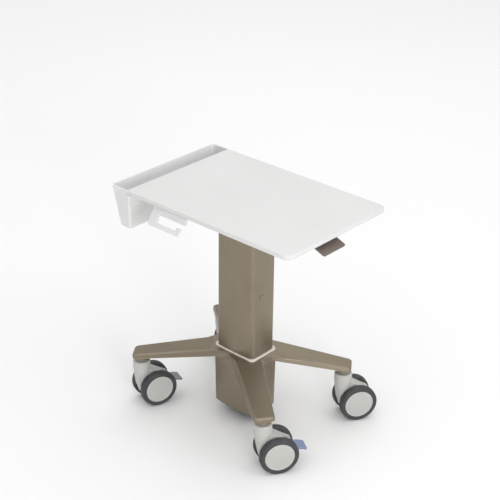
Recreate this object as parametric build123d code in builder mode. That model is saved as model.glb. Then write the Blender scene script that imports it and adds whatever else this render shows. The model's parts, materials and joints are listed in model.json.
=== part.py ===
"""Height-adjustable mobile laptop cart.

A white worksurface with a storage bin rides on a column sleeve.  The sleeve slides on an inner mast,
is carried by a lockable gas spring, and stands on an X-shaped base with four twin-wheel casters.

Units are millimetres.  The origin is on the floor under the column's axis.  +Z is up, +X runs along
the worksurface's long side towards the lift lever, and -Y is the side where the user stands.
"""
import os
from math import atan2, cos, degrees, hypot, radians, sin, tan

from build123d import *

os.makedirs("parts", exist_ok=True)

# ---------------------------------------------------------------- driving dimensions
# worksurface
TOP_Z = 628.0                 # height of the worksurface's top at the lowest setting
TOP_THICK = 13.0
TOP_X0, TOP_X1 = -232.0, 289.5
TOP_Y = 182.5                 # half depth
TOP_CORNER = 20.0
TOP_UNDER = TOP_Z - TOP_THICK

# storage bin, beside the worksurface's -X edge
BIN_OUT_TOP, BIN_OUT_BOTTOM = -288.0, -259.0
BIN_IN_TOP, BIN_IN_BOTTOM = -226.0, -224.0
BIN_FLOOR_Z = 524.0
BIN_WALL = 3.0
BIN_Y0, BIN_Y1 = -183.0, 183.0
FLANGE = 3.0                  # thickness of the flanges that screw to the worksurface

# column sleeve, inner mast and their slide
COLUMN_X, COLUMN_Y = 60.0, 43.0      # half sizes of the sleeve at its corners
COLUMN_BOW = 1.8                     # how far each face swells out at its middle
COLUMN_CORNER = 11.0
COLUMN_IN_X, COLUMN_IN_Y = 57.0, 40.0
COLUMN_Z0 = 60.0
PORT_X, PORT_Y, PORT_R = 51.5, 34.5, 5.5    # screw ports in the sleeve's corners
PLATE_THICK = 5.0
COLUMN_Z1 = TOP_UNDER - PLATE_THICK
MAST_X, MAST_Y, MAST_WALL = 42.0, 25.0, 3.0
MAST_TOP = 560.0
GLIDE_GAP = 0.3

# base
HUB_TOP = 197.8
HUB_BOTTOM = 172.0
HUB_X, HUB_Y = 67.0, 49.0
COLLAR_X, COLLAR_Y = 67.0, 48.0
COLLAR_Z0, COLLAR_Z1 = 194.3, 200.9
SKIRT_Z0 = 31.0
SKIRT_X, SKIRT_Y = 64.5, 46.5
SKIRT_WALL = 2.2
BASE_X = -11.9                # the base's middle lies a little to one side of the column
STEM_X, STEM_Y = 214.0, 157.7        # the caster stems, from the base's middle
STEM_S = hypot(STEM_X, STEM_Y)
LEG_ANGLE = degrees(atan2(STEM_Y, STEM_X))
LEG_TIP = STEM_S + 20.0

# casters
WHEEL_R = 50.0
TRAIL = 34.5
HUB_DISC_R = 38.2
TYRE_SHOULDER = 44.5                 # radius where a tyre's flat side ends
TYRE_IN, TYRE_OUT = 18.5, 38.5       # from the caster's middle plane
AXLE_R, STEM_R = 5.0, 6.0
RUNNING = 0.05                       # radial clearance of the running fits
HOUSING_TOP = 134.0
BEARING_TOP = 139.0
BOSS_R = 19.5                        # boss under a leg's tip that the stem is fixed in
PEDAL_PIVOT = (62.0, 70.0)           # along the trail, and up
# heading of each caster: the direction in which its wheels trail behind its stem
CASTERS = {
    "front_left": (BASE_X - STEM_X, -STEM_Y, 69.7),
    "front_right": (BASE_X + STEM_X, -STEM_Y, 57.0),
    "rear_right": (BASE_X + STEM_X, STEM_Y, 58.4),
    "rear_left": (BASE_X - STEM_X, STEM_Y, 62.0),
}
BRAKED = ("front_left", "front_right")

# gas spring
SPRING_R, SPRING_BORE, ROD_R = 14.0, 12.0, 5.0
SPRING_Z0, SPRING_Z1 = 58.0, 500.0
ROD_Z0, ROD_Z1 = 72.0, 598.0
FOOT_PIN_Z, FOOT_PIN_R = 48.0, 4.0

# lift lever, its bracket, the cable and the release lever
LEVER_Y0, LEVER_Y1 = -69.5, 8.5
LEVER_MID = (LEVER_Y0 + LEVER_Y1) / 2
LEVER_PIVOT = (245.0, 603.0)
LEVER_BEND = 271.0                   # where the lever's plate turns down towards its tip
LEVER_TIP = (301.5, 594.7)
SHEATH_END = LEVER_PIVOT[0] - 14.0    # where the cable's sheath stops in front of the lever
LEVER_DROP = 20.5                    # slope of its paddle, in degrees
LEVER_THICK = 5.0
LEVER_PIN_R = 3.0
CABLE_Z = 587.0
CABLE_R, WIRE_R = 2.5, 0.8
RELEASE_PIVOT = (11.0, 605.0)
RELEASE_PIN_R = 2.5
RELEASE_TRAVEL = 6.0                 # room for the release lever's arm in front of the wire
VALVE_TOP = 600.8

# accessory hook, hung under the worksurface's -Y edge
HOOK_X0, HOOK_X1 = -140.0, -30.0
HOOK_DROP = 15.0                      # from the worksurface's underside to the hook's bend
HOOK_LEAN = 38.0                     # degrees from upright, its foot away from the cart
HOOK_THICK = 4.0

# fasteners
SCREW_R, SCREW_HEAD_R, SCREW_HEAD = 2.0, 4.2, 2.5
SCREW_BITE = 7.0                     # how far a screw goes into the worksurface
PLATE_SCREWS = [(x, y) for x in (-82, 82) for y in (-48, 48)]
BIN_SCREWS = [(-208, y) for y in (-125, 0, 125)]
HOOK_SCREWS = [(-115, -160), (-55, -160)]
LEVER_SCREWS = [(231, LEVER_MID - 29), (231, LEVER_MID + 29)]


# heavier fasteners and plates at the column's foot
BOLT_R, BOLT_HEAD_R = 3.0, 5.2
PLATE_Z1 = SKIRT_Z0 + 6.0                    # top of the base plate
PLATE_BOSSES = [(x, y) for x in (-51.5, 51.5) for y in (-33.5, 33.5)]
FLANGE_X, FLANGE_Y, FLANGE_THICK = 42.4, 38.0, 5.0
MAST_BOLTS = [(x, y) for x in (-30, 30) for y in (-31.5, 31.5)]
PORT_BORE = 2.6

# cap over the lift force adjuster, on the sleeve's +X face
CAP_Y, CAP_Z = -9.0, 369.4
CAP_R, CAP_STEM_R = 6.5, 4.2
CAP_FACE = COLUMN_X + COLUMN_BOW

STEM_DEPTH = 40.0                            # depth of the stem's socket in a caster housing
HOUSING_HALF = 17.2                          # half thickness of a caster housing between its wheels
PEDAL_HALF, PEDAL_WIDE = 5.0, 16.4           # half widths of the pedal's lug and of its paddle
PEDAL_PIN_R = 2.5
HEAD_R = 23.0                                # radius of a caster housing's head, around its stem


# ---------------------------------------------------------------- shared shapes
def bowed_rectangle(half_x, half_y, bow, corner):
    """Face of a rounded rectangle whose four sides swell outwards by bow."""
    with BuildSketch(mode=Mode.PRIVATE) as section:
        with BuildLine():
            ThreePointArc((-half_x, -half_y), (0, -half_y - bow), (half_x, -half_y))
            ThreePointArc((half_x, -half_y), (half_x + bow, 0), (half_x, half_y))
            ThreePointArc((half_x, half_y), (0, half_y + bow), (-half_x, half_y))
            ThreePointArc((-half_x, half_y), (-half_x - bow, 0), (-half_x, -half_y))
        make_face()
        fillet(section.vertices(), corner)
    return section.sketch


def write(piece, name):
    """Label the finished piece and write it to its own STEP file."""
    piece.part.label = name
    export_step(piece.part, f"parts/{name}.step")


def boxed(x0, x1, y0, y1, z0, z1, mode=Mode.ADD):
    """Block between two corners, in the part being built."""
    with Locations(((x0 + x1) / 2, (y0 + y1) / 2, (z0 + z1) / 2)):
        Box(x1 - x0, y1 - y0, z1 - z0, mode=mode)


def pegs(spots, radius, z0, z1, mode=Mode.ADD):
    """Upright cylinders at some (x, y) spots, in the part being built."""
    with Locations(*[(x, y, (z0 + z1) / 2) for x, y in spots]):
        Cylinder(radius, z1 - z0, mode=mode)


def cylinder_y(x, z, radius, y0, y1, mode=Mode.ADD):
    """Cylinder along Y, in the part being built."""
    with Locations(Location((x, (y0 + y1) / 2, z), (90, 0, 0))):
        Cylinder(radius, y1 - y0, mode=mode)


def screw_group(name, spots, seat_z):
    """Pan-head screws that go up into the worksurface, their heads under seat_z."""
    with BuildPart() as screws:
        pegs(spots, SCREW_R, seat_z, TOP_UNDER + SCREW_BITE)
        pegs(spots, SCREW_HEAD_R, seat_z - SCREW_HEAD, seat_z)
        fillet(screws.edges().group_by(Axis.Z)[0], 0.8)
        with BuildSketch(Plane.XY.offset(seat_z - SCREW_HEAD)):
            with Locations(*spots):
                RegularPolygon(radius=1.8, side_count=6)
        extrude(amount=1.6, mode=Mode.SUBTRACT)
    write(screws, name)


# ---------------------------------------------------------------- base
def leg_plane(azimuth, height_in, height_out, reach_in, reach_out):
    """Plane through a leg's middle line, its x axis running down the leg."""
    out = Vector(cos(radians(azimuth)), sin(radians(azimuth)), 0)
    run = out * (reach_out - reach_in) + Vector(0, 0, height_out - height_in)
    side = Vector(0, 0, 1).cross(out)
    return Plane(origin=out * reach_in + Vector(BASE_X, 0, height_in), x_dir=run, z_dir=run.cross(side))


LEG_IN, LEG_OUT = 90.0, 280.0        # two stations along a leg
LEG_TOP = (195.4, 160.8)             # height of its top at those stations
LEG_LOW = (178.0, 149.5)             # height of its lower edge
LEG_TOP_W = (31.0, 21.6)             # half widths there
LEG_SHOULDER = (192.4, 157.8)        # the rounded shoulders along its top start here
LEG_SHOULDER_W = (35.0, 25.4)
LEG_LOW_W = (39.5, 27.4)
LEG_ROOT = 20.0                      # where the legs start, inside the hub
RIB_ROOT = 98.0                      # where the ribs under them start, just outside the hub
LEG_CORNER_X, LEG_CORNER_Y = 40.0, 20.0    # radii between neighbouring legs, on the X and Y sides
WEB_X0, WEB_X1, WEB_FALL = 80.0, 102.0, 7.5    # the webs' tops fall by this much between these


def leg_outline(azimuth, heights, widths, tip, corner):
    """Tapered outline of one leg's top or lower face, with a rounded tip."""
    plane = leg_plane(azimuth, heights[0], heights[1], LEG_IN, LEG_OUT)
    stretch = hypot(LEG_OUT - LEG_IN, heights[1] - heights[0]) / (LEG_OUT - LEG_IN)
    taper = (widths[1] - widths[0]) / (LEG_OUT - LEG_IN)
    root_x, tip_x = (LEG_ROOT - LEG_IN) * stretch, (tip - LEG_IN) * stretch
    root_w = widths[0] + taper * (LEG_ROOT - LEG_IN)
    tip_w = widths[0] + taper * (tip - LEG_IN)
    with BuildSketch(plane, mode=Mode.PRIVATE) as outline:
        with BuildLine():
            Polyline((root_x, -root_w), (tip_x, -tip_w), (tip_x, tip_w), (root_x, root_w), close=True)
        make_face()
        fillet(outline.vertices().sort_by(SortBy.DISTANCE)[-2:], corner)
    return outline.sketch


LEG_AZIMUTHS = (LEG_ANGLE, 180 - LEG_ANGLE, 180 + LEG_ANGLE, 360 - LEG_ANGLE)
STEM_SPOTS = [(x, y) for x, y, _ in CASTERS.values()]


def leg_solid(azimuth):
    """One leg with its sloping sides."""
    with BuildPart() as leg:
        loft([leg_outline(azimuth, LEG_LOW, LEG_LOW_W, LEG_TIP, 10.0).face(),
              leg_outline(azimuth, LEG_SHOULDER, LEG_SHOULDER_W, LEG_TIP + 0.5, 9.0).face(),
              leg_outline(azimuth, LEG_TOP, LEG_TOP_W, LEG_TIP - 2.5, 7.0).face()], ruled=True)
    return leg.part


def rib_solid(azimuth):
    """Stiffening rib under a leg, deep at the hub and shallow at the tip."""
    out = Vector(cos(radians(azimuth)), sin(radians(azimuth)), 0)
    end = STEM_S - 8
    with BuildPart() as rib:
        with BuildSketch(Plane(origin=(BASE_X, 0, 0), x_dir=out, z_dir=out.cross(Vector(0, 0, 1)))):
            with BuildLine():
                Polyline((RIB_ROOT, HUB_BOTTOM), (RIB_ROOT, 186), (end, 156), (end, 146),
                         (RIB_ROOT + 22, 161), close=True)
            make_face()
        extrude(amount=11.0, both=True)
    return rib.part


def leg_web(side):
    """Web between the two legs on one X side, with a hollow round free edge."""
    reach = (LEG_SHOULDER_W[0] + LEG_CORNER_X) / sin(radians(LEG_ANGLE))
    web_low = LEG_LOW[0] + 2
    with BuildPart() as web:
        with BuildSketch(Plane(origin=(BASE_X, 0, web_low), x_dir=(side, 0, 0), z_dir=(0, 0, 1))):
            with BuildLine():
                Polyline((WEB_X0 - 30, 0), (WEB_X1, 38), (WEB_X1, -38), close=True)
            make_face()
        extrude(amount=HUB_TOP - web_low)
        with BuildSketch(Plane(origin=(BASE_X, 0, 0), x_dir=(side, 0, 0), z_dir=(0, -side, 0))):
            with BuildLine():
                Polyline((0, web_low), (0, HUB_TOP), (WEB_X0, HUB_TOP),
                         (WEB_X1, HUB_TOP - WEB_FALL), (WEB_X1, web_low), close=True)
            make_face()
        extrude(amount=LEG_CORNER_X, both=True, mode=Mode.INTERSECT)
        pegs([(BASE_X + side * reach, 0)], LEG_CORNER_X, web_low - 1, HUB_TOP + 1, Mode.SUBTRACT)
    return web.part


leg_solids = [leg_solid(azimuth) for azimuth in LEG_AZIMUTHS]
rib_solids = [rib_solid(azimuth) for azimuth in LEG_AZIMUTHS]

with BuildPart() as base_casting:
    add(leg_solids)
    # the legs run into a flat top around the column
    boxed(-150, 150, -150, 150, HUB_TOP, HUB_TOP + 40, Mode.SUBTRACT)
    # the inner corners between neighbouring legs are rounded, on the X sides by webs
    inner_corners = [edge for edge in base_casting.edges()
                     if edge.length < 24 and abs((edge % 0.5).Z) > 0.5
                     and 40 < abs((edge @ 0.5).Y) < 60 and abs((edge @ 0.5).X - BASE_X) < 10]
    fillet(inner_corners, LEG_CORNER_Y)
    add([leg_web(side) for side in (-1, 1)])
    # hub that carries the lower housing
    with BuildSketch(Plane.XY.offset(HUB_BOTTOM)):
        add(bowed_rectangle(HUB_X, HUB_Y, 3.0, 12.0))
    extrude(amount=18.0)
    add(rib_solids)
    # caster bosses under the tips
    pegs(STEM_SPOTS, BOSS_R, BEARING_TOP, BEARING_TOP + 16)
    pegs(STEM_SPOTS, STEM_R, BEARING_TOP, BEARING_TOP + 12, Mode.SUBTRACT)
    # opening for the sleeve, and the collar's recess
    with BuildSketch(Plane.XY.offset(HUB_BOTTOM - 1)):
        add(bowed_rectangle(COLUMN_X + 1.6, COLUMN_Y + 1.6, COLUMN_BOW, COLUMN_CORNER + 1.6))
    extrude(amount=60.0, mode=Mode.SUBTRACT)
    with BuildSketch(Plane.XY.offset(COLLAR_Z0)):
        add(bowed_rectangle(COLLAR_X, COLLAR_Y, 1.0, 13.0))
    extrude(amount=20.0, mode=Mode.SUBTRACT)
write(base_casting, "base_casting")

with BuildPart() as base_collar:
    with BuildSketch(Plane.XY.offset(COLLAR_Z0)):
        add(bowed_rectangle(COLLAR_X, COLLAR_Y, 1.0, 13.0))
        add(bowed_rectangle(COLUMN_X + 0.7, COLUMN_Y + 0.7, COLUMN_BOW, COLUMN_CORNER + 0.7),
            mode=Mode.SUBTRACT)
    extrude(amount=COLLAR_Z1 - COLLAR_Z0)
    fillet(base_collar.faces().sort_by(Axis.Z)[-1].outer_wire().edges(), 1.2)
write(base_collar, "base_collar")

# lower housing: a shell under the hub that the sleeve sinks into
SKIRT_BOW = 6.0


def skirt_sections(inset):
    """The housing's section at its foot and at the hub, inset from the outside."""
    corner = 13.0 - inset
    foot = bowed_rectangle(SKIRT_X - inset, SKIRT_Y - inset, SKIRT_BOW, corner)
    head = bowed_rectangle(HUB_X - inset, HUB_Y - inset, 3.0, corner)
    return [foot.moved(Location((0, 0, SKIRT_Z0))).face(), head.moved(Location((0, 0, HUB_BOTTOM))).face()]


with BuildPart() as housing_cavity:
    loft(skirt_sections(SKIRT_WALL))
    # corner bosses for the base plate's screws stay standing in the cavity
    pegs(PLATE_BOSSES, 8.8, PLATE_Z1, PLATE_Z1 + 16, Mode.SUBTRACT)

with BuildPart() as lower_housing:
    loft(skirt_sections(0.0))
    fillet(lower_housing.faces().sort_by(Axis.Z)[0].edges(), 1.8)
    add(housing_cavity, mode=Mode.SUBTRACT)
    pegs(PLATE_BOSSES, BOLT_R, PLATE_Z1, PLATE_Z1 + 13, Mode.SUBTRACT)
write(lower_housing, "lower_housing")

with BuildPart() as housing_base_plate:
    plate_section = bowed_rectangle(SKIRT_X - SKIRT_WALL - 0.4, SKIRT_Y - SKIRT_WALL - 0.4, 5.4, 9.0)
    with BuildSketch(Plane.XY.offset(SKIRT_Z0)):
        add(plate_section)
    extrude(amount=PLATE_Z1 - SKIRT_Z0)
    # clevis for the foot of the gas spring
    for y0, y1 in ((-13, -8), (8, 13)):
        boxed(-9, 9, y0, y1, PLATE_Z1, FOOT_PIN_Z)
        cylinder_y(0, FOOT_PIN_Z, 9.0, y0, y1)
        cylinder_y(0, FOOT_PIN_Z, FOOT_PIN_R, y0, y1, Mode.SUBTRACT)
    pegs(PLATE_BOSSES, BOLT_R, SKIRT_Z0, PLATE_Z1, Mode.SUBTRACT)
    pegs(PLATE_BOSSES, BOLT_HEAD_R, SKIRT_Z0, SKIRT_Z0 + 3, Mode.SUBTRACT)
    pegs(MAST_BOLTS, BOLT_R, SKIRT_Z0 + 2, PLATE_Z1, Mode.SUBTRACT)
write(housing_base_plate, "housing_base_plate")

with BuildPart() as base_plate_screws:
    pegs(PLATE_BOSSES, BOLT_R, SKIRT_Z0, PLATE_Z1 + 13)
    pegs(PLATE_BOSSES, BOLT_HEAD_R, SKIRT_Z0, SKIRT_Z0 + 3)
    with BuildSketch(Plane.XY.offset(SKIRT_Z0)):
        with Locations(*PLATE_BOSSES):
            RegularPolygon(radius=2.6, side_count=6)
    extrude(amount=2.0, mode=Mode.SUBTRACT)
write(base_plate_screws, "base_plate_screws")

# ---------------------------------------------------------------- inner mast and gas spring
with BuildPart() as inner_mast:
    with BuildSketch(Plane.XY.offset(PLATE_Z1)):
        RectangleRounded(2 * FLANGE_X, 2 * FLANGE_Y, 4)
        RectangleRounded(2 * (MAST_X - MAST_WALL), 2 * (MAST_Y - MAST_WALL), 4, mode=Mode.SUBTRACT)
    extrude(amount=FLANGE_THICK)
    with BuildSketch(Plane.XY.offset(PLATE_Z1)):
        RectangleRounded(2 * MAST_X, 2 * MAST_Y, 6)
        RectangleRounded(2 * (MAST_X - MAST_WALL), 2 * (MAST_Y - MAST_WALL), 4, mode=Mode.SUBTRACT)
    extrude(amount=MAST_TOP - PLATE_Z1)
    pegs(MAST_BOLTS, BOLT_R, PLATE_Z1, PLATE_Z1 + FLANGE_THICK, Mode.SUBTRACT)
write(inner_mast, "inner_mast")

with BuildPart() as mast_bolts:
    pegs(MAST_BOLTS, BOLT_R, SKIRT_Z0 + 2, PLATE_Z1 + FLANGE_THICK)
    with BuildSketch(Plane.XY.offset(PLATE_Z1 + FLANGE_THICK)):
        with Locations(*MAST_BOLTS):
            RegularPolygon(radius=BOLT_HEAD_R, side_count=6)
    extrude(amount=4.0)
write(mast_bolts, "mast_bolts")


def glide_group(name, inner_x, inner_y, outer_x, outer_y, z0, z1):
    """Four plastic glide pads between the mast and the sleeve, one on each face."""
    with BuildPart() as glides:
        for side in (-1, 1):
            boxed(-26, 26, *sorted((side * inner_y, side * outer_y)), z0, z1)
            boxed(*sorted((side * inner_x, side * outer_x)), -15, 15, z0, z1)
        chamfer(glides.edges().filter_by(Axis.Z, reverse=True).group_by(Axis.Z)[-1], 1.0)
    write(glides, name)


glide_group("mast_glides", MAST_X, MAST_Y, COLUMN_IN_X - GLIDE_GAP, COLUMN_IN_Y - GLIDE_GAP,
            MAST_TOP - 45, MAST_TOP - 5)
glide_group("sleeve_glides", MAST_X + GLIDE_GAP, MAST_Y + GLIDE_GAP, COLUMN_IN_X, COLUMN_IN_Y,
            COLUMN_Z0 + 2, COLUMN_Z0 + 47)

with BuildPart() as gas_spring_cylinder:
    pegs([(0, 0)], SPRING_R, SPRING_Z0, SPRING_Z1)
    fillet(gas_spring_cylinder.edges().sort_by(Axis.Z)[-1], 2.0)
    pegs([(0, 0)], SPRING_BORE, SPRING_Z0 + 6, SPRING_Z1 - 10, Mode.SUBTRACT)
    pegs([(0, 0)], ROD_R + RUNNING, SPRING_Z1 - 12, SPRING_Z1 + 1, Mode.SUBTRACT)
    # eye that the foot pin goes through
    boxed(-8, 8, -7.7, 7.7, FOOT_PIN_Z, SPRING_Z0)
    cylinder_y(0, FOOT_PIN_Z, 8.0, -7.7, 7.7)
    cylinder_y(0, FOOT_PIN_Z, FOOT_PIN_R, -8, 8, Mode.SUBTRACT)
write(gas_spring_cylinder, "gas_spring_cylinder")

with BuildPart() as gas_spring_foot_pin:
    cylinder_y(0, FOOT_PIN_Z, FOOT_PIN_R, -14.5, 14.5)
    chamfer(gas_spring_foot_pin.edges().filter_by(GeomType.CIRCLE), 0.6)
write(gas_spring_foot_pin, "gas_spring_foot_pin")

with BuildPart() as gas_spring_rod:
    pegs([(0, 0)], SPRING_BORE - 0.3, ROD_Z0, ROD_Z0 + 12)
    pegs([(0, 0)], ROD_R, ROD_Z0, ROD_Z1)
    pegs([(0, 0)], 1.5, ROD_Z1, VALVE_TOP)
write(gas_spring_rod, "gas_spring_rod")

# ---------------------------------------------------------------- column sleeve and top plate
PORTS = [(x, y) for x in (-PORT_X, PORT_X) for y in (-PORT_Y, PORT_Y)]

with BuildPart() as column_sleeve:
    with BuildSketch(Plane.XY.offset(COLUMN_Z0)):
        add(bowed_rectangle(COLUMN_X, COLUMN_Y, COLUMN_BOW, COLUMN_CORNER))
        RectangleRounded(2 * COLUMN_IN_X, 2 * COLUMN_IN_Y, 8, mode=Mode.SUBTRACT)
        with Locations(*PORTS):
            Circle(PORT_R)
            Circle(PORT_BORE, mode=Mode.SUBTRACT)
    extrude(amount=COLUMN_Z1 - COLUMN_Z0)
    # holes in the +X face for the adjuster's cap and the release cable
    with Locations(Location((COLUMN_X, CAP_Y, CAP_Z), (0, 90, 0))):
        Cylinder(CAP_STEM_R, 12, mode=Mode.SUBTRACT)
    with Locations(Location((COLUMN_X, 0, CABLE_Z), (0, 90, 0))):
        Cylinder(CABLE_R, 12, mode=Mode.SUBTRACT)
write(column_sleeve, "column_sleeve")

with BuildPart() as adjuster_cap:
    with Locations(Location((CAP_FACE, CAP_Y, CAP_Z), (0, 90, 0))):
        Cylinder(CAP_STEM_R, CAP_FACE - COLUMN_IN_X, align=(Align.CENTER, Align.CENTER, Align.MAX))
        Cylinder(CAP_R, 1.6, align=(Align.CENTER, Align.CENTER, Align.MIN))
    fillet(adjuster_cap.edges().sort_by(Axis.X)[-1], 1.0)
    with Locations(Location((CAP_FACE + 1.6, CAP_Y, CAP_Z), (0, 90, 0))):
        Cylinder(2.2, 1.6, mode=Mode.SUBTRACT)
write(adjuster_cap, "adjuster_cap")

with BuildPart() as column_top_plate:
    with BuildSketch(Plane.XY.offset(COLUMN_Z1)):
        RectangleRounded(190, 124, 12)
    extrude(amount=PLATE_THICK)
    pegs(PLATE_SCREWS, SCREW_R, COLUMN_Z1, TOP_UNDER, Mode.SUBTRACT)
    pegs(PORTS, PORT_BORE, COLUMN_Z1, TOP_UNDER, Mode.SUBTRACT)
    pegs(PORTS, 4.5, TOP_UNDER - 3, TOP_UNDER, Mode.SUBTRACT)
write(column_top_plate, "column_top_plate")

with BuildPart() as column_top_bolts:
    pegs(PORTS, PORT_BORE, COLUMN_Z1 - 20, TOP_UNDER)
    pegs(PORTS, 4.5, TOP_UNDER - 3, TOP_UNDER)
    with BuildSketch(Plane.XY.offset(TOP_UNDER)):
        with Locations(*PORTS):
            RegularPolygon(radius=2.4, side_count=6)
    extrude(amount=-1.8, mode=Mode.SUBTRACT)
write(column_top_bolts, "column_top_bolts")

# ---------------------------------------------------------------- worksurface
ACCESSORY_SCREWS = BIN_SCREWS + HOOK_SCREWS + LEVER_SCREWS

with BuildPart() as worksurface:
    with BuildSketch(Plane.XY.offset(TOP_UNDER)) as top_outline:
        with Locations(((TOP_X0 + TOP_X1) / 2, 0)):
            Rectangle(TOP_X1 - TOP_X0, 2 * TOP_Y)
        fillet(top_outline.vertices().group_by(Axis.X)[-1], TOP_CORNER)
    extrude(amount=TOP_THICK)
    free_edges = worksurface.edges().filter_by(Axis.Z, reverse=True).filter_by(
        lambda edge: (edge @ 0.5).X > TOP_X0 + 1)
    fillet(free_edges.group_by(Axis.Z)[0], 4.5)
    free_edges = worksurface.edges().filter_by(Axis.Z, reverse=True).filter_by(
        lambda edge: (edge @ 0.5).X > TOP_X0 + 1)
    fillet(free_edges.group_by(Axis.Z)[-1], 2.0)
    pegs(PLATE_SCREWS + ACCESSORY_SCREWS, SCREW_R, TOP_UNDER, TOP_UNDER + SCREW_BITE, Mode.SUBTRACT)
write(worksurface, "worksurface")

screw_group("top_plate_screws", PLATE_SCREWS, COLUMN_Z1)
screw_group("accessory_screws", ACCESSORY_SCREWS, TOP_UNDER - FLANGE)

# ---------------------------------------------------------------- storage bin
with BuildPart() as storage_bin:
    with BuildSketch(Plane(origin=(0, BIN_Y0, 0), x_dir=(1, 0, 0), z_dir=(0, -1, 0))):
        with BuildLine():
            Polyline((BIN_OUT_TOP, TOP_Z), (BIN_OUT_BOTTOM, BIN_FLOOR_Z), (BIN_IN_BOTTOM, BIN_FLOOR_Z),
                     (BIN_IN_TOP, TOP_Z), close=True)
        make_face()
    extrude(amount=BIN_Y0 - BIN_Y1)
    for end_y, corner in ((BIN_Y0, 5.0), (BIN_Y1, 12.0)):
        fillet(storage_bin.edges().filter_by(lambda edge: abs((edge % 0.5).Z) > 0.5
                                             and abs((edge @ 0.5).Y - end_y) < 1), corner)
    fillet(storage_bin.edges().group_by(Axis.Z)[0], 4.0)
    offset(amount=-BIN_WALL, openings=storage_bin.faces().sort_by(Axis.Z)[-1])
    # the inner wall stops under the worksurface
    boxed(TOP_X0, TOP_X0 + 60, BIN_Y0 - 5, BIN_Y1 + 5, TOP_UNDER, TOP_Z + 5, Mode.SUBTRACT)
    boxed(BIN_IN_TOP - 1, BIN_IN_TOP + 32, BIN_Y0 + 14, BIN_Y1 - 14, TOP_UNDER - FLANGE, TOP_UNDER)
    pegs(BIN_SCREWS, SCREW_R, TOP_UNDER - FLANGE, TOP_UNDER, Mode.SUBTRACT)
write(storage_bin, "storage_bin")

# ---------------------------------------------------------------- accessory hook
hook_lean = radians(HOOK_LEAN)
hook_plane = Plane(origin=(0, -TOP_Y - 2, TOP_UNDER - HOOK_DROP), x_dir=(1, 0, 0),
                   z_dir=(0, -cos(hook_lean), sin(hook_lean)))

with BuildPart() as accessory_hook:
    boxed(HOOK_X0, HOOK_X1, -TOP_Y + 2, -TOP_Y + 38, TOP_UNDER - FLANGE, TOP_UNDER)
    boxed(HOOK_X0, HOOK_X1, -TOP_Y + 2, -TOP_Y + 2 + HOOK_THICK, TOP_UNDER - HOOK_DROP - 4, TOP_UNDER)
    fillet(accessory_hook.edges().filter_by(Axis.Y).filter_by(
        lambda edge: (edge @ 0.5).Z < TOP_UNDER - HOOK_DROP and (edge @ 0.5).X > HOOK_X1 - 1), 8.0)
    with BuildSketch(hook_plane) as hook_outline:
        with BuildLine():
            Polyline((HOOK_X0, 10), (HOOK_X0, -32), (HOOK_X0 + 105, -32), (HOOK_X0 + 105, -11),
                     (HOOK_X0 + 90, -11), (HOOK_X0 + 90, -20), (HOOK_X0 + 26, -20), (HOOK_X0 + 26, 10),
                     close=True)
        make_face()
        fillet(hook_outline.vertices().filter_by(lambda vertex: vertex.Z < TOP_UNDER - 5), 3.5)
    extrude(amount=HOOK_THICK / 2, both=True)
    pegs(HOOK_SCREWS, SCREW_R, TOP_UNDER - FLANGE, TOP_UNDER, Mode.SUBTRACT)
write(accessory_hook, "accessory_hook")

# ---------------------------------------------------------------- lift lever and release
pivot_x, pivot_z = LEVER_PIVOT

with BuildPart() as lever_bracket:
    boxed(pivot_x - 23, pivot_x + 26, LEVER_Y0 - 8, LEVER_Y1 + 8, TOP_UNDER - FLANGE, TOP_UNDER)
    for y0, y1 in ((LEVER_Y0 - 4, LEVER_Y0 - 0.4), (LEVER_Y1 + 0.4, LEVER_Y1 + 4)):
        boxed(pivot_x - 7, pivot_x + 7, y0, y1, pivot_z, TOP_UNDER - FLANGE)
        cylinder_y(pivot_x, pivot_z, 7.0, y0, y1)
        cylinder_y(pivot_x, pivot_z, LEVER_PIN_R, y0, y1, Mode.SUBTRACT)
    # stop for the end of the cable's sheath
    boxed(SHEATH_END - 4, SHEATH_END, LEVER_MID - 9, LEVER_MID + 9, CABLE_Z - 6, TOP_UNDER - FLANGE)
    with Locations(Location((SHEATH_END - 2, LEVER_MID, CABLE_Z), (0, 90, 0))):
        Cylinder(CABLE_R, 6, mode=Mode.SUBTRACT)
    pegs(LEVER_SCREWS, SCREW_R, TOP_UNDER - FLANGE, TOP_UNDER, Mode.SUBTRACT)
write(lever_bracket, "lever_bracket")

with BuildPart() as lever_pin:
    cylinder_y(pivot_x, pivot_z, LEVER_PIN_R, LEVER_Y0 - 5, LEVER_Y1 + 5)
    chamfer(lever_pin.edges().filter_by(GeomType.CIRCLE), 0.5)
write(lever_pin, "lever_pin")

tip_x, tip_z = LEVER_TIP
drop_x, drop_z = LEVER_THICK * sin(radians(LEVER_DROP)), LEVER_THICK * cos(radians(LEVER_DROP))
bend_z = tip_z + (tip_x - LEVER_BEND) * tan(radians(LEVER_DROP))

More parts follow.
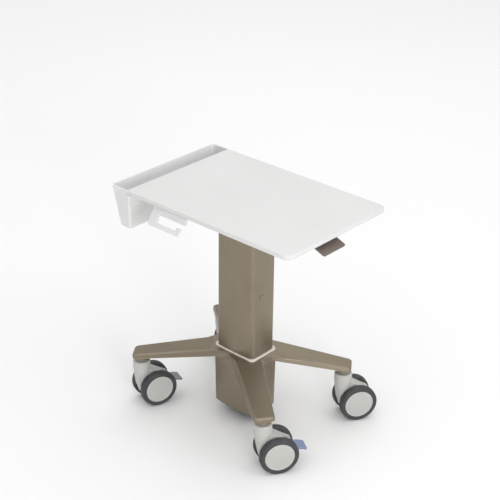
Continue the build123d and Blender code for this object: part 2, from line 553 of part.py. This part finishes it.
with BuildPart() as lift_lever:
    with BuildSketch(Plane(origin=(0, LEVER_Y0, 0), x_dir=(1, 0, 0), z_dir=(0, -1, 0))):
        with BuildLine():
            Polyline((pivot_x, bend_z), (LEVER_BEND, bend_z), (tip_x, tip_z),
                     (tip_x - drop_x, tip_z - drop_z), (LEVER_BEND - 1, bend_z - LEVER_THICK),
                     (pivot_x, bend_z - LEVER_THICK), close=True)
        make_face()
    extrude(amount=LEVER_Y0 - LEVER_Y1)
    fillet(lift_lever.edges().filter_by(lambda edge: edge.length < LEVER_THICK + 1)
           .group_by(Axis.X)[-1], 5.0)
    tip_edges = lift_lever.edges().filter_by(lambda edge: (edge @ 0.5).X > LEVER_BEND + 2)
    fillet(tip_edges, 1.2)
    # shallow recess in the paddle's top
    with BuildSketch(Plane(origin=((LEVER_BEND + tip_x) / 2 + 1, LEVER_MID, (bend_z + tip_z) / 2 - 0.4),
                           x_dir=(0, 1, 0), z_dir=(drop_x, 0, drop_z))):
        RectangleRounded(LEVER_Y1 - LEVER_Y0 - 9, 22, 3)
    extrude(amount=4.0, mode=Mode.SUBTRACT)
    cylinder_y(pivot_x, pivot_z, 6.5, LEVER_Y0, LEVER_Y1)
    # arm that pulls the cable's wire
    boxed(pivot_x - 2.5, pivot_x + 2.5, LEVER_MID - 4, LEVER_MID + 4, CABLE_Z - 3, pivot_z)
    cylinder_y(pivot_x, pivot_z, LEVER_PIN_R + RUNNING, LEVER_Y0, LEVER_Y1, Mode.SUBTRACT)
write(lift_lever, "lift_lever")

release_x, release_z = RELEASE_PIVOT

with BuildPart() as gas_spring_head:
    boxed(-16, 7.3, -14, 14, ROD_Z1 - 12, ROD_Z1)
    for y0, y1 in ((-14, -10), (10, 14)):
        boxed(-16, 19, y0, y1, ROD_Z1 - 12, COLUMN_Z1)
        cylinder_y(release_x, release_z, RELEASE_PIN_R, y0, y1, Mode.SUBTRACT)
    pegs([(0, 0)], ROD_R, ROD_Z1 - 12, ROD_Z1, Mode.SUBTRACT)
write(gas_spring_head, "gas_spring_head")

with BuildPart() as release_pin:
    cylinder_y(release_x, release_z, RELEASE_PIN_R, -14, 14)
write(release_pin, "release_pin")

with BuildPart() as release_lever:
    cylinder_y(release_x, release_z, 4.5, -9.6, 9.6)
    boxed(-5, release_x, -5, 5, release_z - 2.2, release_z + 1.2)
    boxed(release_x - 2.2, release_x + 2.2, -4, 4, CABLE_Z - 3, release_z)
    cylinder_y(release_x, release_z, RELEASE_PIN_R + RUNNING, -9.6, 9.6, Mode.SUBTRACT)
write(release_lever, "release_lever")

# the cable's sheath runs from the lever's bracket to the sleeve, its wire stands out at both ends
with BuildPart() as release_cable:
    with BuildLine() as cable_route:
        FilletPolyline((SHEATH_END, LEVER_MID, CABLE_Z), (168, LEVER_MID, CABLE_Z), (118, 0, CABLE_Z),
                       (COLUMN_IN_X - 1.5, 0, CABLE_Z), radius=90)
    with BuildSketch(Plane(origin=cable_route.wire() @ 0, z_dir=cable_route.wire() % 0)):
        Circle(CABLE_R)
    sweep()
    with Locations(Location((SHEATH_END, LEVER_MID, CABLE_Z), (0, 90, 0))):
        Cylinder(WIRE_R, pivot_x - 2.8 - SHEATH_END, align=(Align.CENTER, Align.CENTER, Align.MIN))
    wire_end = release_x + RELEASE_TRAVEL
    with Locations(Location((wire_end, 0, CABLE_Z), (0, 90, 0))):
        Cylinder(WIRE_R, COLUMN_IN_X - 1.5 - wire_end, align=(Align.CENTER, Align.CENTER, Align.MIN))
write(release_cable, "release_cable")

with BuildPart() as cable_clips:
    for clip_x, clip_y, seat_z in ((201.0, LEVER_MID, TOP_UNDER), (76.0, 0.0, COLUMN_Z1)):
        boxed(clip_x - 5, clip_x + 5, clip_y - 8, clip_y + 8, seat_z - 2, seat_z)
        boxed(clip_x - 5, clip_x + 5, clip_y - 1.5, clip_y + 1.5, CABLE_Z + 3, seat_z)
        with Locations(Location((clip_x, clip_y, CABLE_Z), (0, 90, 0))):
            Cylinder(4.2, 10)
            Cylinder(CABLE_R, 10, mode=Mode.SUBTRACT)
write(cable_clips, "cable_clips")

# ---------------------------------------------------------------- casters
with BuildPart() as caster_stems:
    pegs(STEM_SPOTS, STEM_R, HOUSING_TOP - STEM_DEPTH + 1, BEARING_TOP + 12)
    chamfer(caster_stems.edges().group_by(Axis.Z)[0], 0.8)
write(caster_stems, "caster_stems")

with BuildPart() as swivel_bearings:
    pegs(STEM_SPOTS, 15.5, HOUSING_TOP + 0.4, BEARING_TOP)
    chamfer(swivel_bearings.edges().group_by(Axis.Z)[0], 1.0)
    pegs(STEM_SPOTS, STEM_R, HOUSING_TOP, BEARING_TOP, Mode.SUBTRACT)
write(swivel_bearings, "swivel_bearings")


def caster_housing(side_plane, plan_plane, braked):
    """Housing that turns on the stem and holds the axle between the two wheels."""
    pivot_t, pivot_up = PEDAL_PIVOT
    with BuildPart() as housing:
        # head around the stem, which narrows towards the floor
        with BuildSketch(side_plane):
            with BuildLine():
                Polyline((0, HOUSING_TOP), (0, 38), (9.5, 39), (13.5, 52), (18.2, 78),
                         (HEAD_R - 1.3, 98), (HEAD_R, 112),
                         (HEAD_R, HOUSING_TOP - 4))
                ThreePointArc((HEAD_R, HOUSING_TOP - 4), (HEAD_R - 1.2, HOUSING_TOP - 1.2),
                              (HEAD_R - 4, HOUSING_TOP))
                Line((HEAD_R - 4, HOUSING_TOP), (0, HOUSING_TOP))
            make_face()
        revolve(axis=Axis(side_plane.origin, (0, 0, 1)))
        # broad body between the wheels, its top sloping down behind the head
        with BuildSketch(side_plane) as profile:
            with BuildLine():
                Polyline((-15.5, 80), (-11.5, 52), (-5, 38), (5, 32), (36, 30), (50, 38), (60, 48),
                         (68, 58), (74, 68), (73, 74), (52, 87), (30, 101), (14, 108), (-10, 108),
                         close=True)
            make_face()
            fillet(profile.vertices(), 3.0)
        extrude(amount=HOUSING_HALF, both=True)
        # wheel wells
        for shift, depth in ((HOUSING_HALF, 20), (-HOUSING_HALF, -20)):
            well_plane = side_plane.offset(shift)
            with BuildSketch(well_plane):
                with Locations((TRAIL, WHEEL_R)):
                    Circle(WHEEL_R + 2.0)
            extrude(amount=depth, mode=Mode.SUBTRACT)
        # stem socket and axle bore
        with BuildSketch(plan_plane.offset(HOUSING_TOP - STEM_DEPTH)):
            Circle(STEM_R + RUNNING)
        extrude(amount=STEM_DEPTH + 1, mode=Mode.SUBTRACT)
        with BuildSketch(side_plane):
            with Locations((TRAIL, WHEEL_R)):
                Circle(AXLE_R)
        extrude(amount=HOUSING_HALF, both=True, mode=Mode.SUBTRACT)
        if braked:
            # slot for the pedal, and its pin
            with BuildSketch(side_plane):
                with Locations((pivot_t + 16, pivot_up + 1)):
                    Rectangle(46, 44)
            extrude(amount=PEDAL_HALF + 0.4, both=True, mode=Mode.SUBTRACT)
            with BuildSketch(side_plane):
                with Locations(PEDAL_PIVOT):
                    Circle(PEDAL_PIN_R)
            extrude(amount=HOUSING_HALF, both=True, mode=Mode.SUBTRACT)
    return housing


def wheel_profile_plane(center, lateral):
    """Plane whose x axis is the axle and whose y axis points up from it."""
    return Plane(origin=center, x_dir=lateral, z_dir=lateral.cross(Vector(0, 0, 1)))


def caster_hub(center, lateral):
    """Wheel centre: a domed disc with a raised rim ring, turning on the axle."""
    bore, face = TYRE_IN + 0.8, TYRE_OUT - 0.6
    with BuildPart() as hub:
        with BuildSketch(wheel_profile_plane(center, lateral)):
            with BuildLine():
                Polyline((bore, AXLE_R + RUNNING), (bore, 12), (bore + 3, 14), (bore + 3, 33), (bore, 35),
                         (bore, HUB_DISC_R), (face - 1.2, HUB_DISC_R), (face - 0.4, HUB_DISC_R - 0.8),
                         (face - 0.4, 35.2), (face - 1.5, 34.2), (face - 1.5, 33.0), (face - 0.8, 32.0))
                ThreePointArc((face - 0.8, 32.0), (face - 0.2, 18.0), (face, 4.0))
                Polyline((face, 4.0), (face, 0), (face - 5, 0), (face - 5, AXLE_R + RUNNING),
                         (bore, AXLE_R + RUNNING))
            make_face()
        revolve(axis=Axis(center, lateral))
    return hub


def caster_tyre(center, lateral):
    """Soft tyre with rounded shoulders and a flat tread."""
    with BuildPart() as tyre:
        with BuildSketch(wheel_profile_plane(center, lateral)):
            with BuildLine():
                Line((TYRE_IN + 0.8, HUB_DISC_R), (TYRE_IN, TYRE_SHOULDER))
                ThreePointArc((TYRE_IN, TYRE_SHOULDER), (TYRE_IN + 1.5, 48.3), (TYRE_IN + 5.5, WHEEL_R))
                Line((TYRE_IN + 5.5, WHEEL_R), (TYRE_OUT - 5.5, WHEEL_R))
                ThreePointArc((TYRE_OUT - 5.5, WHEEL_R), (TYRE_OUT - 1.5, 48.3), (TYRE_OUT, TYRE_SHOULDER))
                Line((TYRE_OUT, TYRE_SHOULDER), (TYRE_OUT - 0.8, HUB_DISC_R))
                Line((TYRE_OUT - 0.8, HUB_DISC_R), (TYRE_IN + 0.8, HUB_DISC_R))
            make_face()
        revolve(axis=Axis(center, lateral))
    return tyre


def caster_pedal(side_plane):
    """Brake pedal: a lug on a pin between the wheels, and a broad paddle behind them."""
    with BuildPart() as pedal:
        with BuildSketch(side_plane):
            with BuildLine():
                Polyline((58, 74), (66, 75), (83, 59), (84, 50), (76, 50), (59, 64.5), close=True)
            make_face()
            with Locations(PEDAL_PIVOT):
                Circle(6.0)
        extrude(amount=PEDAL_HALF, both=True)
        with BuildSketch(side_plane) as paddle:
            with BuildLine():
                Polyline((79.5, 59), (95, 57), (107, 53.5), (110.5, 51), (109.5, 46.5), (104, 47.5),
                         (94, 50.5), (79.5, 52), close=True)
            make_face()
            fillet(paddle.vertices(), 1.4)
        extrude(amount=PEDAL_WIDE, both=True)
        with BuildSketch(side_plane):
            with Locations(PEDAL_PIVOT):
                Circle(PEDAL_PIN_R + RUNNING)
        extrude(amount=PEDAL_WIDE, both=True, mode=Mode.SUBTRACT)
    return pedal


def pin_across(side_plane, spot, radius, half_length):
    """Pin through a caster from side to side."""
    with BuildPart() as pin:
        with BuildSketch(side_plane):
            with Locations(spot):
                Circle(radius)
        extrude(amount=half_length, both=True)
    return pin


for name, (stem_x, stem_y, heading) in CASTERS.items():
    trail = Vector(cos(radians(heading)), sin(radians(heading)), 0)
    outward = Vector(sin(radians(heading)), -cos(radians(heading)), 0)
    stem_foot = Vector(stem_x, stem_y, 0)
    side_plane = Plane(origin=stem_foot, x_dir=trail, z_dir=outward)
    plan_plane = Plane(origin=stem_foot, x_dir=trail, z_dir=(0, 0, 1))
    axle_center = stem_foot + trail * TRAIL + Vector(0, 0, WHEEL_R)
    write(caster_housing(side_plane, plan_plane, name in BRAKED), f"{name}_caster_housing")
    write(pin_across(side_plane, (TRAIL, WHEEL_R), AXLE_R, TYRE_OUT - 6), f"{name}_axle")
    for wheel, lateral in (("outer", outward), ("inner", -outward)):
        write(caster_hub(axle_center, lateral), f"{name}_{wheel}_hub")
        write(caster_tyre(axle_center, lateral), f"{name}_{wheel}_tyre")
    if name in BRAKED:
        write(caster_pedal(side_plane), f"{name}_brake_pedal")
        write(pin_across(side_plane, PEDAL_PIVOT, PEDAL_PIN_R, HOUSING_HALF), f"{name}_pedal_pin")
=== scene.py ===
"""Looks of the mobile laptop cart: finishes, rounded edges, floor, light and camera.

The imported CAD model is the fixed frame, in metres.  Every visible piece is a CAD node, which keeps its
place and its mesh; it gets a material and, where listed, a modifier that rounds its edges.
"""
import json
from math import cos, radians, sin

import bpy
from mathutils import Matrix, Vector

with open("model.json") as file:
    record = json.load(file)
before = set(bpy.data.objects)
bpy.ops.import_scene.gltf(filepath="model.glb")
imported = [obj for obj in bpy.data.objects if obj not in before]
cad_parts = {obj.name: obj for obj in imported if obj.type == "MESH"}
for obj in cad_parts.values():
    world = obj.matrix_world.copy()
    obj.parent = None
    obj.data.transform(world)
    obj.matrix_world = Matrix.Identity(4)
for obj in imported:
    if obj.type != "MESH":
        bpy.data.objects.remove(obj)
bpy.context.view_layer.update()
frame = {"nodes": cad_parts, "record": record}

NODES = frame["nodes"]
MM = 0.001
SLOT_OF = {part["node"]: part["material_slot"] for part in frame["record"]["subparts"]}


# ---------------------------------------------------------------- node tree helpers
def new_material(name, color, roughness, metallic=0.0, **sockets):
    """Material with a Principled shader; sockets are its other fixed inputs, by name."""
    material = bpy.data.materials.new(name)
    material.use_nodes = True
    shader = material.node_tree.nodes["Principled BSDF"]
    shader.inputs["Base Color"].default_value = (*color, 1.0)
    shader.inputs["Roughness"].default_value = roughness
    shader.inputs["Metallic"].default_value = metallic
    for socket, value in sockets.items():
        shader.inputs[socket.replace("_", " ")].default_value = value
    return material, material.node_tree, shader


def stretched(tree, scale):
    """Object coordinates scaled along each axis."""
    coordinates = tree.nodes.new("ShaderNodeTexCoord")
    mapping = tree.nodes.new("ShaderNodeMapping")
    mapping.inputs["Scale"].default_value = scale
    tree.links.new(coordinates.outputs["Object"], mapping.inputs["Vector"])
    return mapping.outputs["Vector"]


def noise(tree, scale, detail=4.0, rough=0.55, stretch=(1.0, 1.0, 1.0)):
    """Noise of a given scale per metre."""
    texture = tree.nodes.new("ShaderNodeTexNoise")
    texture.inputs["Scale"].default_value = scale
    texture.inputs["Detail"].default_value = detail
    texture.inputs["Roughness"].default_value = rough
    tree.links.new(stretched(tree, stretch), texture.inputs["Vector"])
    return texture.outputs["Fac"]


def spread(tree, source, low, high, to_low, to_high):
    """Source remapped from low..high to to_low..to_high, clamped."""
    remap = tree.nodes.new("ShaderNodeMapRange")
    tree.links.new(source, remap.inputs["Value"])
    for socket, value in zip(("From Min", "From Max", "To Min", "To Max"), (low, high, to_low, to_high)):
        remap.inputs[socket].default_value = value
    return remap.outputs["Result"]


def math(tree, operation, first, second):
    """Math node on two sources, either of which may be a number."""
    node = tree.nodes.new("ShaderNodeMath")
    node.operation = operation
    for socket, value in zip(node.inputs, (first, second)):
        if isinstance(value, (int, float)):
            socket.default_value = value
        else:
            tree.links.new(value, socket)
    return node.outputs["Value"]


def blended(tree, share, first, second):
    """Colour between first and second; either may be a plain colour or a source."""
    mix = tree.nodes.new("ShaderNodeMix")
    mix.data_type = "RGBA"
    tree.links.new(share, mix.inputs["Factor"])
    for socket, value in ((mix.inputs[6], first), (mix.inputs[7], second)):
        if isinstance(value, tuple):
            socket.default_value = (*value, 1.0)
        else:
            tree.links.new(value, socket)
    return mix.outputs[2]


def edge_mask(tree, radius):
    """1 on convex and concave edges and 0 on flat faces, over about radius."""
    bevel = tree.nodes.new("ShaderNodeBevel")
    bevel.samples = 6
    bevel.inputs["Radius"].default_value = radius
    geometry = tree.nodes.new("ShaderNodeNewGeometry")
    dot = tree.nodes.new("ShaderNodeVectorMath")
    dot.operation = "DOT_PRODUCT"
    tree.links.new(bevel.outputs["Normal"], dot.inputs[0])
    tree.links.new(geometry.outputs["Normal"], dot.inputs[1])
    return spread(tree, dot.outputs["Value"], 0.999, 0.93, 0.0, 1.0)


def bump(tree, shader, height, distance, strength=1.0):
    """Bump of the given depth, in metres, on top of any bump the shader already has."""
    node = tree.nodes.new("ShaderNodeBump")
    node.inputs["Distance"].default_value = distance
    node.inputs["Strength"].default_value = strength
    tree.links.new(height, node.inputs["Height"])
    if shader.inputs["Normal"].links:
        tree.links.new(shader.inputs["Normal"].links[0].from_socket, node.inputs["Normal"])
    tree.links.new(node.outputs["Normal"], shader.inputs["Normal"])


# ---------------------------------------------------------------- materials
def moulded_plastic(name, color, deep, rough=0.42, grain=0.00003, edge_highlight=None):
    """Satin injection-moulded plastic: fine spark texture, soft mottling and a painted highlight on its
    edges.
    """
    material, tree, shader = new_material(name, color, rough, Specular_IOR_Level=0.45)
    mottle = noise(tree, 9.0, 3.0)
    body = blended(tree, spread(tree, mottle, 0.3, 0.7, 0.0, 1.0), color, deep)
    # painted highlight: the edges are blended toward a lighter colour, standing in for light caught on the
    # rounded edges
    if edge_highlight is not None:
        body = blended(tree, math(tree, "MULTIPLY", edge_mask(tree, 0.0008), 0.6), body, edge_highlight)
    tree.links.new(body, shader.inputs["Base Color"])
    patches = noise(tree, 30.0, 5.0)
    tree.links.new(spread(tree, patches, 0.3, 0.7, rough - 0.07, rough + 0.09), shader.inputs["Roughness"])
    bump(tree, shader, noise(tree, 2600.0, 2.0), grain, 0.6)
    return material


def bin_plastic():
    """White satin plastic, thin enough for a little light to pass through the walls."""
    material = moulded_plastic("bin_plastic", (0.76, 0.76, 0.76), (0.73, 0.73, 0.73), 0.4,
                               edge_highlight=(0.84, 0.84, 0.84))
    shader = next(node for node in material.node_tree.nodes if node.type == "BSDF_PRINCIPLED")
    shader.inputs["Subsurface Weight"].default_value = 0.75
    shader.inputs["Subsurface Radius"].default_value = (1.0, 1.0, 1.0)
    shader.inputs["Subsurface Scale"].default_value = 0.006
    return material


def champagne_metal():
    """Champagne metallic finish with a fine vertical grain, faint flow and a painted highlight on its
    rounded edges.
    """
    base, deep, grain_and_edge_highlight = (0.271, 0.228, 0.168), (0.255, 0.214, 0.157), (0.54, 0.475, 0.37)
    material, tree, shader = new_material("champagne_metal", base, 0.42, 0.8)
    flow = noise(tree, 5.0, 4.0, stretch=(1.0, 1.0, 0.25))
    body = blended(tree, spread(tree, flow, 0.3, 0.7, 0.0, 1.0), base, deep)
    grain = noise(tree, 900.0, 3.0, 0.6, stretch=(1.0, 1.0, 0.02))
    body = blended(tree, spread(tree, grain, 0.35, 0.75, 0.0, 0.13), body, grain_and_edge_highlight)
    # painted highlight: rounded edges and corners blended toward the lighter tone, standing in for the
    # light band on the column's corner
    body = blended(tree, math(tree, "MULTIPLY", edge_mask(tree, 0.0012), 0.55), body, grain_and_edge_highlight)
    tree.links.new(body, shader.inputs["Base Color"])
    smears = noise(tree, 14.0, 5.0)
    tree.links.new(spread(tree, smears, 0.3, 0.7, 0.36, 0.5), shader.inputs["Roughness"])
    bump(tree, shader, grain, 0.00002, 0.5)
    bump(tree, shader, noise(tree, 1500.0, 2.0), 0.00002, 0.4)
    return material


def worksurface_plastic():
    """White worksurface: fine leather-like texture on top and hardly visible use marks."""
    white, warm = (0.745, 0.745, 0.74), (0.715, 0.71, 0.705)
    material, tree, shader = new_material("white_plastic", white, 0.38, Specular_IOR_Level=0.4)
    mottle = noise(tree, 6.0, 5.0)
    body = blended(tree, spread(tree, mottle, 0.35, 0.75, 0.0, 1.0), white, warm)
    tree.links.new(body, shader.inputs["Base Color"])
    marks = noise(tree, 22.0, 6.0, 0.7)
    tree.links.new(spread(tree, marks, 0.35, 0.7, 0.3, 0.46), shader.inputs["Roughness"])
    texture = tree.nodes.new("ShaderNodeTexVoronoi")
    texture.inputs["Scale"].default_value = 900.0
    tree.links.new(stretched(tree, (1.0, 1.0, 1.0)), texture.inputs["Vector"])
    bump(tree, shader, texture.outputs["Distance"], 0.00004, 0.35)
    return material


def tyre_rubber():
    """Charcoal polyurethane tread, dusty on its crown."""
    black, dust = (0.045, 0.046, 0.052), (0.085, 0.084, 0.085)
    material, tree, shader = new_material("tyre_rubber", black, 0.6, Specular_IOR_Level=0.35)
    patches = noise(tree, 45.0, 6.0, 0.65)
    body = blended(tree, spread(tree, patches, 0.35, 0.75, 0.0, 1.0), black, dust)
    tree.links.new(body, shader.inputs["Base Color"])
    tree.links.new(spread(tree, patches, 0.3, 0.7, 0.5, 0.75), shader.inputs["Roughness"])
    bump(tree, shader, noise(tree, 1800.0, 3.0), 0.00004, 0.7)
    return material


def painted_steel():
    """Black powder coat with its orange-peel surface."""
    black, lighter_edge_tone = (0.018, 0.018, 0.020), (0.07, 0.07, 0.072)
    material, tree, shader = new_material("dark_steel", black, 0.5)
    # edges blended toward a slightly lighter grey than the faces
    body = blended(tree, edge_mask(tree, 0.0006), black, lighter_edge_tone)
    tree.links.new(body, shader.inputs["Base Color"])
    bump(tree, shader, noise(tree, 1200.0, 3.0), 0.00006, 0.6)
    tree.links.new(spread(tree, noise(tree, 60.0), 0.3, 0.7, 0.42, 0.6), shader.inputs["Roughness"])
    return material


def zinc_steel():
    """Zinc-plated fasteners: bright, slightly mottled."""
    bright, dull = (0.55, 0.55, 0.53), (0.40, 0.40, 0.39)
    material, tree, shader = new_material("fastener_steel", bright, 0.32, 1.0)
    patches = noise(tree, 180.0, 5.0)
    tree.links.new(blended(tree, spread(tree, patches, 0.3, 0.7, 0.0, 1.0), bright, dull),
                   shader.inputs["Base Color"])
    tree.links.new(spread(tree, patches, 0.3, 0.7, 0.24, 0.45), shader.inputs["Roughness"])
    bump(tree, shader, noise(tree, 2500.0), 0.00001, 0.5)
    return material


def mast_aluminium():
    """Extruded aluminium with drawing lines along the mast."""
    light, dark = (0.62, 0.62, 0.61), (0.50, 0.50, 0.50)
    material, tree, shader = new_material("mast_aluminium", light, 0.34, 1.0)
    lines = noise(tree, 1400.0, 3.0, 0.6, stretch=(1.0, 1.0, 0.004))
    tree.links.new(blended(tree, spread(tree, lines, 0.3, 0.7, 0.0, 1.0), light, dark),
                   shader.inputs["Base Color"])
    tree.links.new(spread(tree, lines, 0.3, 0.7, 0.26, 0.42), shader.inputs["Roughness"])
    bump(tree, shader, lines, 0.00001, 0.5)
    return material


def chrome_rod():
    """Hard-chromed gas spring rod, with faint grinding round it."""
    material, tree, shader = new_material("chrome_rod", (0.72, 0.73, 0.75), 0.08, 1.0)
    rings = noise(tree, 2500.0, 2.0, stretch=(0.02, 0.02, 1.0))
    tree.links.new(spread(tree, rings, 0.3, 0.7, 0.05, 0.14), shader.inputs["Roughness"])
    return material


def cable_sheath():
    """Black cable sheath, a little dusty."""
    material, tree, shader = new_material("cable_black", (0.02, 0.02, 0.02), 0.45)
    body = blended(tree, noise(tree, 80.0), (0.016, 0.016, 0.017), (0.04, 0.04, 0.04))
    tree.links.new(body, shader.inputs["Base Color"])
    bump(tree, shader, noise(tree, 1500.0), 0.00003, 0.5)
    return material


# The edge colours given to the moulded plastics are painted highlights; the nearly white one of hub_grey
# paints the light rim of the hubs.
MATERIALS = {
    "champagne_metal": champagne_metal(),
    "champagne_plastic": moulded_plastic("champagne_plastic", (0.26, 0.222, 0.168), (0.23, 0.197, 0.15),
                                         edge_highlight=(0.4, 0.355, 0.285)),
    "collar_plastic": moulded_plastic("collar_plastic", (0.84, 0.785, 0.73), (0.80, 0.745, 0.69), 0.4),
    "mast_aluminium": mast_aluminium(),
    "dark_steel": painted_steel(),
    "fastener_steel": zinc_steel(),
    "glide_plastic": moulded_plastic("glide_plastic", (0.03, 0.03, 0.03), (0.024, 0.024, 0.025), 0.5),
    "spring_black": painted_steel(),
    "chrome_rod": chrome_rod(),
    "white_plastic": worksurface_plastic(),
    "bin_plastic": bin_plastic(),
    "cable_black": cable_sheath(),
    "lever_plastic": moulded_plastic("lever_plastic", (0.175, 0.135, 0.115), (0.15, 0.115, 0.098), 0.42,
                                     edge_highlight=(0.28, 0.23, 0.2)),
    "caster_grey": moulded_plastic("caster_grey", (0.56, 0.555, 0.53), (0.52, 0.515, 0.49), 0.4,
                                   edge_highlight=(0.66, 0.66, 0.64)),
    "hub_grey": moulded_plastic("hub_grey", (0.53, 0.53, 0.505), (0.50, 0.50, 0.475), 0.38,
                                edge_highlight=(0.95, 0.95, 0.95)),
    "tyre_rubber": tyre_rubber(),
    "pedal_grey": moulded_plastic("pedal_grey", (0.28, 0.28, 0.285), (0.25, 0.25, 0.255), 0.4,
                                  edge_highlight=(0.5, 0.5, 0.5)),
    "pedal_blue": moulded_plastic("pedal_blue", (0.25, 0.31, 0.465), (0.22, 0.275, 0.42), 0.4,
                                  edge_highlight=(0.55, 0.58, 0.66)),
}

# width of the rounded edges, in mm
BEVELS = {
    "base_casting": 1.6, "lift_lever": 0.5, "accessory_hook": 0.8, "column_top_plate": 0.6,
    "lever_bracket": 0.5, "adjuster_cap": 0.3, "storage_bin": 0.7, "lower_housing": 0.5,
}


def soften_edges(node, width):
    """Small round edges, so that they catch the light."""
    weld = node.modifiers.new("weld", "WELD")
    weld.merge_threshold = 0.00001
    bevel = node.modifiers.new("bevel", "BEVEL")
    bevel.width = width * MM
    bevel.segments = 3
    bevel.limit_method = "ANGLE"
    bevel.angle_limit = radians(32.0)
    bevel.harden_normals = False
    bevel.use_clamp_overlap = True


for name, node in NODES.items():
    node.data.materials.clear()
    node.data.materials.append(MATERIALS[SLOT_OF[name]])
    if name in BEVELS:
        soften_edges(node, BEVELS[name])


# ---------------------------------------------------------------- stage, light, camera
FLOOR_SIZE = 30.0
CART_MIDDLE = Vector((0.0, 0.0, 0.35))
OVERHEAD_STRENGTH = 1.85
WORLD_STRENGTH = 0.36


def floor():
    """Plain pale floor."""
    bpy.ops.mesh.primitive_plane_add(size=FLOOR_SIZE)
    plane = bpy.context.object
    plane.name = "floor"
    material, tree, shader = new_material("floor_paint", (0.9, 0.9, 0.9), 0.9, Specular_IOR_Level=0.1)
    body = blended(tree, noise(tree, 2.0), (0.90, 0.90, 0.90), (0.915, 0.915, 0.915))
    tree.links.new(body, shader.inputs["Base Color"])
    plane.data.materials.append(material)


def soft_light(name, azimuth, elevation, distance, size, power):
    """Square area light aimed at the cart's middle."""
    a, e = radians(azimuth), radians(elevation)
    away = Vector((sin(a) * cos(e), -cos(a) * cos(e), sin(e)))
    data = bpy.data.lights.new(name, "AREA")
    data.energy = power
    data.size = size
    light = bpy.data.objects.new(name, data)
    light.location = CART_MIDDLE + away * distance
    light.rotation_euler = away.to_track_quat("Z", "Y").to_euler()
    bpy.context.scene.collection.objects.link(light)


def overhead_light(strength):
    """Very soft light from straight above that falls evenly on the whole floor."""
    data = bpy.data.lights.new("overhead", "SUN")
    data.energy = strength
    data.angle = radians(110.0)
    bpy.context.scene.collection.objects.link(bpy.data.objects.new("overhead", data))


CAMERA_AT = Vector((1.8668, -2.0799, 1.9108))
CAMERA_AZIMUTH, CAMERA_PITCH, CAMERA_ROLL = radians(41.73), radians(27.15), radians(0.74)
SENSOR = 36.0
LENS = 90.77


def camera():
    """Camera at the photograph's viewing angle."""
    ahead = Vector((-sin(CAMERA_AZIMUTH) * cos(CAMERA_PITCH), cos(CAMERA_AZIMUTH) * cos(CAMERA_PITCH),
                    -sin(CAMERA_PITCH)))
    level = ahead.cross(Vector((0.0, 0.0, 1.0))).normalized()
    above = level.cross(ahead)
    right = level * cos(CAMERA_ROLL) + above * sin(CAMERA_ROLL)
    up = above * cos(CAMERA_ROLL) - level * sin(CAMERA_ROLL)
    data = bpy.data.cameras.new("camera")
    data.sensor_width = SENSOR
    data.lens = LENS
    view = bpy.data.objects.new("camera", data)
    view.matrix_world = Matrix.Translation(CAMERA_AT) @ Matrix((right, up, -ahead)).transposed().to_4x4()
    bpy.context.scene.collection.objects.link(view)
    bpy.context.scene.camera = view


floor()
soft_light("key", azimuth=60, elevation=16, distance=3.2, size=0.9, power=30)
soft_light("side", azimuth=100, elevation=40, distance=3.4, size=1.6, power=6)
soft_light("rim", azimuth=215, elevation=45, distance=3.4, size=2.4, power=10)
overhead_light(OVERHEAD_STRENGTH)
camera()

world = bpy.data.worlds.new("studio")
world.use_nodes = True
world.node_tree.nodes["Background"].inputs["Color"].default_value = (1.0, 1.0, 1.0, 1.0)
world.node_tree.nodes["Background"].inputs["Strength"].default_value = WORLD_STRENGTH
bpy.context.scene.world = world
bpy.context.scene.view_settings.view_transform = "Standard"
